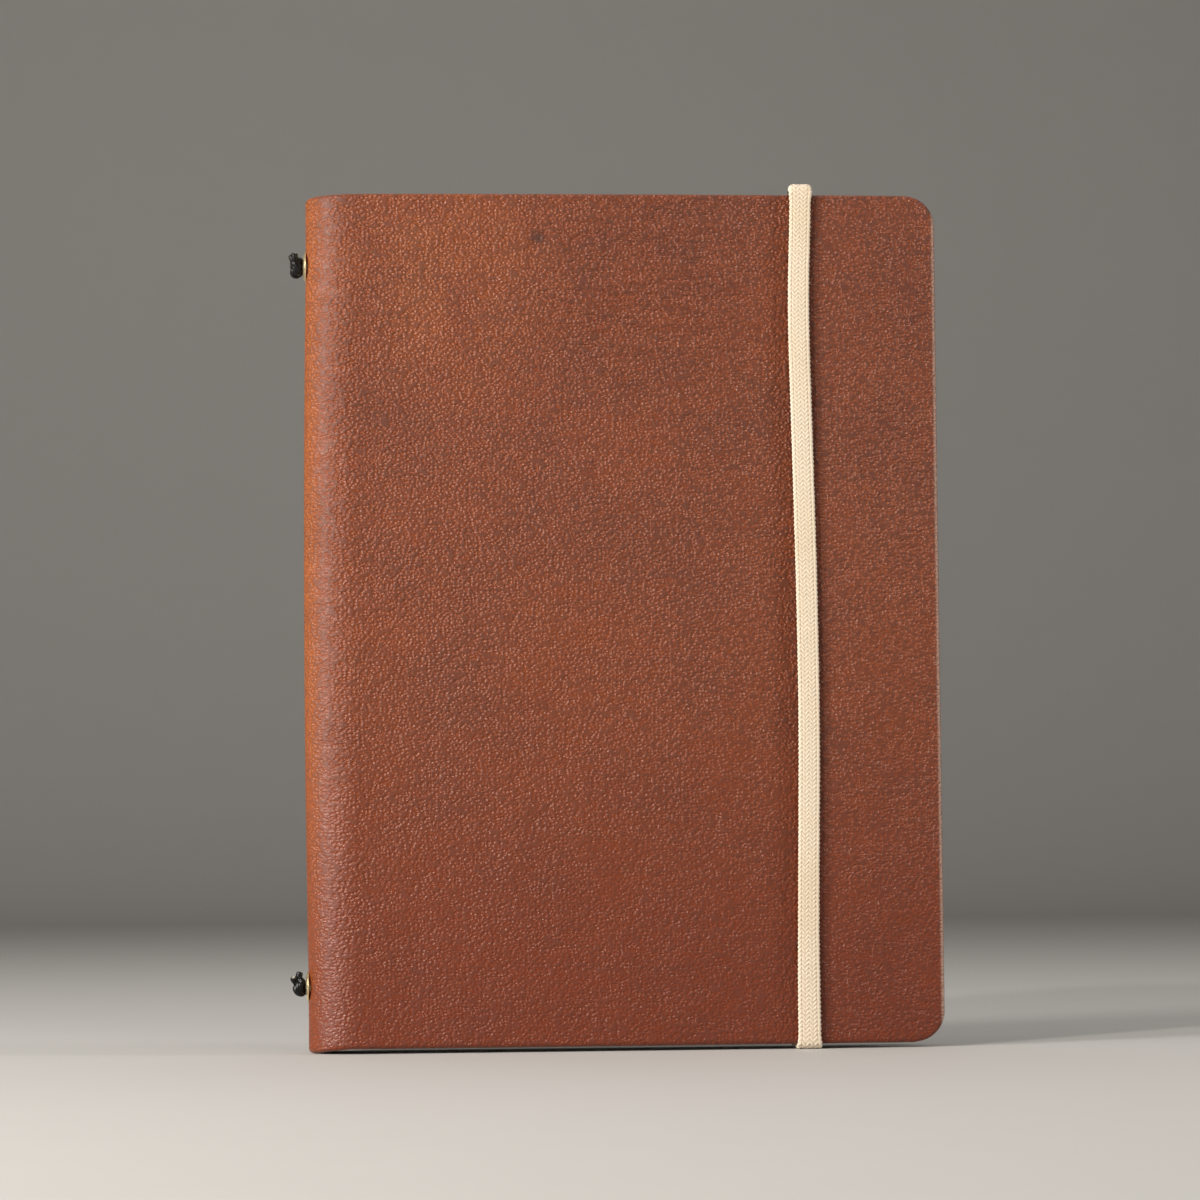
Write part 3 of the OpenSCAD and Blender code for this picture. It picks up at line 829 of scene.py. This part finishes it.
bandLook = {
    "columns": 6,             # columns of slanted stitches
    "pitch": 0.80,            # mm from one stitch to the next
    "relief": 0.13,           # mm
    "thickness": 0.80,        # mm
    "crown": 0.10,            # mm that the middle stands above the selvedges
    "stretched": 0.90,        # share of its full width where it is stretched
    "overTheEdges": 0.11,     # share that it gains where it turns over an edge
    "atTheFoot": 0.06,        # and just above the foot
    "backSway": -0.4,         # share of the sway that the back takes
    "backAtTop": 0.75,        # mm more at the top of the back
    "cream": (0.675, 0.562, 0.428, 1),
    "creamLight": (0.74, 0.645, 0.515, 1),
    "shade": (0.42, 0.27, 0.14, 1),
    "shadeAmount": 0.80,
    "acrossSamples": 9,       # for each column
    "alongSamples": 7,        # for each stitch
    # sideways wander on the front, in mm, at shares of the height
    "sway": ((0.0, -0.15), (0.1, -0.22), (0.21, 0.05), (0.375, 0.45), (0.54, 0.25),
             (0.72, -0.30), (0.865, -0.80), (0.95, -0.35), (1.0, 0.0)),
}


def bandBraid():
    look = bandLook
    material, tree, shader = newMaterial("bandBraid")
    relief = put(tree, "ShaderNodeAttribute", attribute_name="relief").outputs["Fac"]
    where = sheetCoordinates(tree)
    fibres = noise(tree, where, 5.0, detail=4.0, roughness=0.7,
                   stretch=((1.0, 0.5, 1.0), (0.0, 0.0, 0.6)))
    soiled = noise(tree, where, 0.05, detail=3.0)
    colour = mixColour(tree, spread(tree, fibres, 0.3, 0.7), look["cream"], look["creamLight"])
    colour = mixColour(tree, spread(tree, soiled, 0.42, 0.7, 0.0, 0.35), colour, (0.62, 0.48, 0.30, 1))
    # painted shade in the grooves between the stitches, where the relief is low
    colour = mixColour(tree, spread(tree, relief, 0.50, 0.05, 0.0, look["shadeAmount"]),
                       colour, look["shade"])
    tree.links.new(colour, shader.inputs["Base Color"])
    shader.inputs["Roughness"].default_value = 0.85
    shader.inputs["Sheen Weight"].default_value = 0.2
    tree.links.new(bump(tree, fibres, 0.05 * mm, 0.7), shader.inputs["Normal"])
    return material


def bandRoute():
    # the loop seen along X: down the front, under, up the back and over, with its outward normals
    half = -bandLow.y
    inner = half - bandLook["thickness"] / 2 - 0.05
    low = bandLow.z + bandLook["thickness"] / 2 + 0.03
    high = bandHigh.z - bandLook["thickness"] / 2 - 0.03
    corner = 1.0
    points = []
    centres = [(-inner + corner, low + corner, 180), (inner - corner, low + corner, 270),
               (inner - corner, high - corner, 0), (-inner + corner, high - corner, 90)]
    for y, z, first in centres:
        for angle in np.linspace(first, first + 90, 10):
            a = math.radians(angle)
            points.append((y + corner * math.cos(a), z + corner * math.sin(a)))
    points.append(points[0])
    points = np.array(points)
    run = np.concatenate([[0], np.cumsum(np.linalg.norm(np.diff(points, axis=0), axis=1))])
    stitches = round(run[-1] / bandLook["pitch"])
    at = np.linspace(0, run[-1], stitches * bandLook["alongSamples"] + 1)[:-1]
    y = np.interp(at, run, points[:, 0])
    z = np.interp(at, run, points[:, 1])
    dy = np.roll(y, -1) - np.roll(y, 1)
    dz = np.roll(z, -1) - np.roll(z, 1)
    size = np.hypot(dy, dz)
    return at, y, z, dz / size, -dy / size, stitches, run[-1]


def closureBand():
    look = bandLook
    at, y, z, outY, outZ, stitches, length = bandRoute()
    pitch = length / stitches
    acrossCount = look["columns"] * look["acrossSamples"] + 1
    across = np.linspace(-1, 1, acrossCount)
    run, u = np.meshgrid(at, across, indexing="ij")
    # slanted stitches: each column leans the other way, so that pairs make a V
    place = (u + 1) / 2 * look["columns"]
    column = np.minimum(np.floor(place), look["columns"] - 1)
    inside = place - column
    lean = np.where(column % 2 == 0, 1.0, -1.0)
    edgeColumn = (column == 0) | (column == look["columns"] - 1)
    phase = run / pitch + lean * (inside - 0.5) * 0.85
    phase = phase + 0.03 * ripple(run, u * 2, 3, 9)
    stitch = np.abs(np.sin(np.pi * phase)) ** 0.85
    bead = np.sin(np.pi * inside) ** 0.55
    # the strands run on from column to column, except beside the two selvedges
    besideEdge = (np.abs(place - 1) < 0.16) | (np.abs(place - look["columns"] + 1) < 0.16)
    floorLevel = np.where(besideEdge, 0.25, 0.62)
    relief = stitch * (floorLevel + (1 - floorLevel) * bead)
    relief = np.where(edgeColumn, np.maximum(relief, 0.45 * bead), relief)
    crown = look["crown"] * (1 - np.abs(u) ** 3)
    edgeDrop = -0.16 * np.clip((np.abs(u) - 0.90) / 0.10, 0, 1) ** 2
    half = look["thickness"] / 2
    outward = half - look["relief"] + look["relief"] * relief + crown + edgeDrop - 0.08
    middleX = (bandLow.x + bandHigh.x) / 2
    halfWidth = (bandHigh.x - bandLow.x) / 2 - 0.06
    climb = (z - sheetBottom) / sheetHeight
    shares, offsets = np.array(look["sway"]).T
    sway = np.interp(climb, shares, offsets)
    window = np.hanning(301) / np.hanning(301).sum()
    sway = np.convolve(np.pad(sway, 150, mode="wrap"), window, mode="valid")
    share = smooth(0.5 - y / (2 * np.abs(y).max()))      # 1 on the front, 0 on the back
    atTop = smooth((climb - 0.75) / 0.2)
    sway = sway * (share + look["backSway"] * (1 - share)) + look["backAtTop"] * atTop * (1 - share)
    overEdge = 1 - smooth((sheetHeight / 2 + 1.2 - np.abs(z - middleZ)) / 3)
    width = halfWidth * (look["stretched"] + look["overTheEdges"] * overEdge
                         + look["atTheFoot"] * smooth(1 - climb / 0.16))
    overTop = smooth((z - bandHigh.z + 2.0) / 1.5)[:, None]
    outward = outward + overTop * (0.22 * u ** 2 - 0.95 * np.abs(u) ** 7 - 0.14)
    ragged = 0.09 * np.sin(run * math.tau / pitch) * np.sign(u) * np.abs(u) ** 8
    ragged = ragged + 0.02 * ripple(run, u, 8, 6)
    x = middleX + sway[:, None] + u * (width[:, None] + ragged)
    outer = np.stack([x, y[:, None] + outY[:, None] * outward, z[:, None] + outZ[:, None] * outward], -1)
    innerOffset = -half + 0.05 + 0.05 * (1 - stitch)
    innerX = middleX + sway[:, None] + u * width[:, None] * 0.985
    inner = np.stack([innerX, y[:, None] + outY[:, None] * innerOffset,
                      z[:, None] + outZ[:, None] * innerOffset], -1)[:, ::3]
    innerU = u[:, ::3]
    rows = len(at)
    outerIndex = np.arange(rows * acrossCount).reshape(rows, acrossCount)
    innerCount = inner.shape[1]
    innerIndex = outerIndex.size + np.arange(rows * innerCount).reshape(rows, innerCount)
    outerLoop = np.vstack([outerIndex, outerIndex[:1]])
    innerLoop = np.vstack([innerIndex, innerIndex[:1]])
    faces = [gridFaces(outerLoop), gridFaces(innerLoop, flip=True)]
    faces.append(gridFaces(np.stack([innerLoop[:, 0], outerLoop[:, 0]], axis=1)))
    faces.append(gridFaces(np.stack([outerLoop[:, -1], innerLoop[:, -1]], axis=1)))
    points = np.vstack([outer.reshape(-1, 3), inner.reshape(-1, 3)])
    uv = np.vstack([np.stack([u.ravel() * halfWidth, run.ravel()], 1),
                    np.stack([innerU.ravel() * halfWidth, run[:, ::3].ravel()], 1)]) / 100
    reliefs = np.concatenate([relief.ravel(), np.full(innerIndex.size, 0.4)])
    piece = meshFrom("band_braid", points, np.vstack(faces), uv, [bandBraid()], None, {"relief": reliefs})
    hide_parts("closure_band")
    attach(piece, "closure_band")


closureBand()

threadLook = {
    "colour": (0.70, 0.60, 0.42, 1),
    "grooveShade": (0.42, 0.32, 0.20, 1),
    "radius": 0.13,     # mm
    "rows": 9,          # passes across the lap
}


def sewingThread():
    material, tree, shader = newMaterial("sewingThread")
    where = sheetCoordinates(tree)
    plies = put(tree, "ShaderNodeTexWave", {"Scale": 1.2, "Distortion": 0.4}, bands_direction="DIAGONAL")
    tree.links.new(where, plies.inputs["Vector"])
    # painted shade: the grooves between the plies are darker in the colour
    tree.links.new(mixColour(tree, plies.outputs["Fac"], threadLook["grooveShade"], threadLook["colour"]),
                   shader.inputs["Base Color"])
    shader.inputs["Roughness"].default_value = 0.6
    tree.links.new(bump(tree, plies.outputs["Fac"], 0.04 * mm, 0.8), shader.inputs["Normal"])
    return material


def bandStitching():
    # a bar tack: one thread that zigzags across the lap
    low, high = [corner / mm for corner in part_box("band_stitching")]
    surface = bandHigh.y - 0.06
    inset = threadLook["radius"]
    route = []
    rows = threadLook["rows"]
    for row in range(rows):
        z = low.z + inset + (high.z - low.z - 2 * inset) * row / (rows - 1)
        ends = (low.x + inset, high.x - inset) if row % 2 == 0 else (high.x - inset, low.x + inset)
        route.append((ends[0], surface - 0.22, z))
        route.append((ends[0] * 0.8 + ends[1] * 0.2, surface, z + 0.05))
        route.append((ends[0] * 0.2 + ends[1] * 0.8, surface, z + 0.12))
        route.append((ends[1], surface - 0.22, z + 0.2))
    path = evenPath(route, 0.08)
    path[:, 2] = np.clip(path[:, 2], low.z + inset, high.z - inset)
    _, side, lift = sweepFrames(path)
    around = 10
    angles = np.linspace(0, math.tau, around, endpoint=False)
    points = (path[:, None, :] + side[:, None, :] * (np.cos(angles) * inset)[None, :, None]
              + lift[:, None, :] * (np.sin(angles) * inset)[None, :, None])
    index = np.arange(len(path) * around).reshape(len(path), around)
    index = np.hstack([index, index[:, :1]])
    along = np.arange(len(path))[:, None] * 0.08 + np.zeros(around)[None, :]
    roundIt = np.zeros(len(path))[:, None] + angles[None, :] * inset
    uv = np.stack([roundIt.ravel(), along.ravel()], 1) / 100
    piece = meshFrom("band_bar_tack", points.reshape(-1, 3), gridFaces(index), uv, [sewingThread()])
    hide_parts("band_stitching")
    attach(piece, "closure_band")


bandStitching()
print("band done")

# ---- paper refill

refillLook = {
    "sheets": 13,             # folded sheets
    "sheetThickness": 0.115,  # mm
    "cardThickness": 0.30,    # mm
    "cordRoom": 0.86,         # mm kept free beside the cord
    "paper": (0.83, 0.79, 0.69, 1),
    "paperShade": (0.80, 0.755, 0.65, 1),
    "kraft": (0.40, 0.265, 0.145, 1),
    "kraftLight": (0.52, 0.37, 0.22, 1),
}


def paper():
    look = refillLook
    material, tree, shader = newMaterial("paper")
    where = sheetCoordinates(tree)
    pulp = noise(tree, where, 1.6, detail=6.0, roughness=0.75)
    cloud = noise(tree, where, 0.05, detail=3.0)
    colour = mixColour(tree, spread(tree, cloud, 0.35, 0.7), look["paper"], look["paperShade"])
    colour = mixColour(tree, spread(tree, pulp, 0.45, 0.75, 0.0, 0.35), colour, (0.66, 0.60, 0.48, 1))
    tree.links.new(colour, shader.inputs["Base Color"])
    shader.inputs["Roughness"].default_value = 0.88
    tree.links.new(bump(tree, pulp, 0.02 * mm, 0.5), shader.inputs["Normal"])
    return material


def kraftCard():
    look = refillLook
    material, tree, shader = newMaterial("kraftCard")
    where = sheetCoordinates(tree)
    fibre = noise(tree, where, 0.9, detail=6.0, roughness=0.8, stretch=((2.5, 0.5, 1.0), (0, 0, 0.1)))
    flecks = noise(tree, where, 2.8, detail=2.0)
    colour = mixColour(tree, spread(tree, fibre, 0.35, 0.68), look["kraft"], look["kraftLight"])
    colour = mixColour(tree, spread(tree, flecks, 0.64, 0.72, 0.0, 0.5), colour, (0.20, 0.12, 0.06, 1))
    tree.links.new(colour, shader.inputs["Base Color"])
    shader.inputs["Roughness"].default_value = 0.8
    tree.links.new(bump(tree, fibre, 0.04 * mm, 0.6), shader.inputs["Normal"])
    return material


paperMaterial, kraftMaterial = paper(), kraftCard()
pageTurnStart, pageTurnEnd = foldHigh.x - spineBack + 0.2, foldHigh.x - spineBack + 8.5


def leafMesh(name, side, leaves, material, rows):
    # leaves is a list of (apex x, distance from the middle plane as a function of x, end x, thickness)
    points, faces, uv = [], [], []
    base = 0
    low, high = pagesLow.z, pagesHigh.z
    for number, (apex, spacing, end, thickness) in enumerate(leaves):
        rng = np.random.default_rng(40 + number)
        xs = np.concatenate([apex + np.array([0, 0.05, 0.14, 0.3, 0.5]),
                             np.linspace(apex + 0.75, 16, 18), np.linspace(18, end, 22)])
        room = spacing(xs)
        rise = np.sqrt(np.clip(1 - (1 - np.clip((xs - apex) / 0.6, 0, 1)) ** 2, 0, 1))
        ys = room * rise
        trim = rng.uniform(-0.10, 0.06)
        zs = np.linspace(low + 0.05 + abs(trim) * 0.5, high - 0.05 - abs(trim) * 0.6, rows)
        wave = 0.03 * np.sin(zs[:, None] * 0.05 + number + xs[None, :] * 0.04)
        wave = wave * smooth((xs[None, :] - 20) / 60)
        tangentX, tangentY = np.gradient(xs), np.gradient(ys)
        size = np.hypot(tangentX, tangentY)
        normalX, normalY = -tangentY / size, tangentX / size
        for face in (1, -1):
            offset = face * thickness / 2
            x = xs + normalX * offset
            y = np.maximum(ys + normalY * offset, 0.004)
            x = np.where(xs > 100, x + trim * smooth((xs - 100) / 9), x)
            grid = np.stack([np.broadcast_to(spineBack + x, wave.shape),
                             side * (y[None, :] + np.abs(wave)),
                             np.broadcast_to(zs[:, None], wave.shape)], -1)
            points.append(grid.reshape(-1, 3))
            uv.append(np.stack([np.broadcast_to(side * xs + number * 7, wave.shape).ravel(),
                                np.broadcast_to(zs[:, None], wave.shape).ravel()], 1) / 100)
            index = base + np.arange(wave.size).reshape(wave.shape)
            faces.append(gridFaces(index, flip=(face * side) < 0))
            if face > 0:
                first = index
            base += wave.size
        for a, b, flip in ((first[:, -1], index[:, -1], False), (first[0, :], index[0, :], True),
                           (first[-1, :], index[-1, :], False)):
            faces.append(gridFaces(np.stack([a, b], axis=1), flip=flip != (side < 0)))
    return meshFrom(name, np.vstack(points), np.vstack(faces), np.vstack(uv), [material])


def refillHalf(side, label):
    look = refillLook
    count = look["sheets"]
    outerPage = cardLow.y - 0.03
    cardMiddle = (cardLow.y + cardHigh.y) / 2
    foldBack = foldLow.x - spineBack
    foldFront = foldHigh.x - spineBack
    leaves = []
    for i in range(count):
        share = (i + 0.5) / count

        def spacing(x, share=share):
            cordRoom = look["cordRoom"] * smooth((x - foldFront) / 0.7) * (1 - smooth((x - 9.2) / 4.5))
            return cordRoom + (outerPage - cordRoom - 0.06) * share + 0.04
        apex = foldFront - 0.1 - (foldFront - foldBack - look["cardThickness"] - 0.2) * share
        leaves.append((apex, spacing, cardHigh.x - spineBack - 0.25, look["sheetThickness"]))
    pages = leafMesh(f"{label}_pages", side, leaves, paperMaterial, 9)
    card = leafMesh(f"{label}_card", side,
                    [(foldBack + look["cardThickness"] / 2, lambda x: cardMiddle + 0 * x,
                      cardHigh.x - spineBack, look["cardThickness"])], kraftMaterial, 40)
    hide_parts(f"refill_{label}_pages", "refill_page_folds")
    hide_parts(f"refill_{label}_card", "refill_card_fold")
    ends = [((spineBack + x) * mm, 0.0, middleZ * mm) for x in (pageTurnStart, pageTurnEnd)]
    if side > 0:
        ends.reverse()
    for piece in (pages, card):
        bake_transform(piece)


refillHalf(-1, "front")
refillHalf(1, "back")


def stapleWire():
    material, tree, shader = newMaterial("stapleWire")
    place = put(tree, "ShaderNodeTexCoord").outputs["Object"]
    drawn = noise(tree, place, 4000.0, detail=3.0, stretch=((1.0, 1.0, 0.05), (0.0, 0.0, 0.0)))
    tree.links.new(mixColour(tree, drawn, (0.50, 0.51, 0.53, 1), (0.76, 0.77, 0.79, 1)),
                   shader.inputs["Base Color"])
    shader.inputs["Metallic"].default_value = 1.0
    tree.links.new(spread(tree, drawn, 0.3, 0.7, 0.22, 0.42), shader.inputs["Roughness"])
    tree.links.new(bump(tree, drawn, 0.01 * mm, 0.6), shader.inputs["Normal"])
    return material


stapleMaterial = stapleWire()
for node in ("upper_staple", "lower_staple"):
    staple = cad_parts[node]
    staple.data.materials.clear()
    staple.data.materials.append(stapleMaterial)
print("refill done")

# ---- floor, lights and camera

studio = {
    "floor": (0.50, 0.488, 0.470, 1),
    "world": (1.0, 0.95, 0.90, 1),
    "worldStrength": 0.11,
    "distance": 700.0,      # mm from the camera to the book
    "azimuth": -3.3,        # degrees round to the spine's side
    "cameraHeight": 40.0,   # mm above the floor
    "aimX": -2.88,          # mm, where it looks on the front
    "aimZ": 81.65,
    "roll": -0.5,           # degrees
    "pictureWidth": 217.6,  # mm across the picture at the book
}


def floorMaterial():
    material, tree, shader = newMaterial("paleFloor")
    place = put(tree, "ShaderNodeTexCoord").outputs["Object"]
    grain = noise(tree, place, 60.0, detail=4.0)
    low = tuple(c * 0.97 for c in studio["floor"][:3]) + (1,)
    tree.links.new(mixColour(tree, grain, low, studio["floor"]), shader.inputs["Base Color"])
    shader.inputs["Roughness"].default_value = 0.7
    return material


def buildStage():
    # floor that curves up into a backdrop
    depth, wide, rise = 1400.0, 2600.0, 400.0
    profile = [(-2200.0, 0.0), (depth - rise, 0.0)]
    for angle in np.linspace(-90, 0, 16)[1:]:
        a = math.radians(angle)
        profile.append((depth - rise + rise * math.cos(a), rise + rise * math.sin(a)))
    profile.append((depth, 2400.0))
    profile = np.array(profile)
    points = [[x, y, z] for x in (-wide, wide) for y, z in profile]
    count = len(profile)
    faces = [[i, i + count, i + count + 1, i + 1] for i in range(count - 1)]
    floor = meshFrom("studio_floor", points, faces, materials=[floorMaterial()])


studioLights = {
    # place, aim, width and height, all in mm, then watts and colour
    "key": ((-640, -370, 330), (0, 0, 90), (760, 420), 3.8, (1.0, 0.96, 0.90)),
    "strip": ((-640, -360, 250), (0, 0, 80), (130, 560), 5.0, (1.0, 0.97, 0.93)),
    "spot": ((-430, -500, 470), (0, 0, 90), (45, 45), 2.3, (1.0, 0.95, 0.88)),
    "front": ((360, -560, 480), (0, 0, 80), (500, 400), 0.7, (1.0, 0.96, 0.91)),
    "rim": ((540, -110, 260), (50, 0, 80), (90, 500), 1.3, (1.0, 0.97, 0.93)),
    "top": ((0, 160, 700), (0, 0, 60), (700, 500), 1.2, (1.0, 0.98, 0.96)),
}


def areaLight(name, place, aim, size, power, colour):
    data = bpy.data.lights.new(name, "AREA")
    data.shape = "RECTANGLE"
    data.size, data.size_y = size[0] * mm, size[1] * mm
    data.energy = power
    data.color = colour
    lamp = bpy.data.objects.new(name, data)
    lamp.location = Vector(place) * mm
    direction = (Vector(aim) - Vector(place)).normalized()
    lamp.rotation_euler = direction.to_track_quat("-Z", "Y").to_euler()
    bpy.context.scene.collection.objects.link(lamp)


def buildCamera():
    data = bpy.data.cameras.new("camera")
    data.sensor_width = 36.0
    data.lens = 36.0 * studio["distance"] / studio["pictureWidth"]
    data.clip_start = 0.01
    camera = bpy.data.objects.new("camera", data)
    azimuth = math.radians(studio["azimuth"])
    aim = Vector((studio["aimX"], -bendRadius, studio["aimZ"]))
    place = Vector((aim.x + studio["distance"] * math.sin(azimuth),
                    aim.y - studio["distance"] * math.cos(azimuth), studio["cameraHeight"]))
    turn = (aim - place).to_track_quat("-Z", "Y").to_matrix().to_4x4()
    roll = Matrix.Rotation(math.radians(studio["roll"]), 4, "Z")
    camera.matrix_world = Matrix.Translation(place * mm) @ turn @ roll
    bpy.context.scene.collection.objects.link(camera)
    bpy.context.scene.camera = camera


buildStage()
for name, light in studioLights.items():
    areaLight(name, *light)
world = bpy.data.worlds.new("studioWorld")
world.use_nodes = True
world.node_tree.nodes["Background"].inputs["Color"].default_value = studio["world"]
world.node_tree.nodes["Background"].inputs["Strength"].default_value = studio["worldStrength"]
bpy.context.scene.world = world
bpy.context.scene.view_settings.view_transform = "Standard"
buildCamera()
print("studio done")
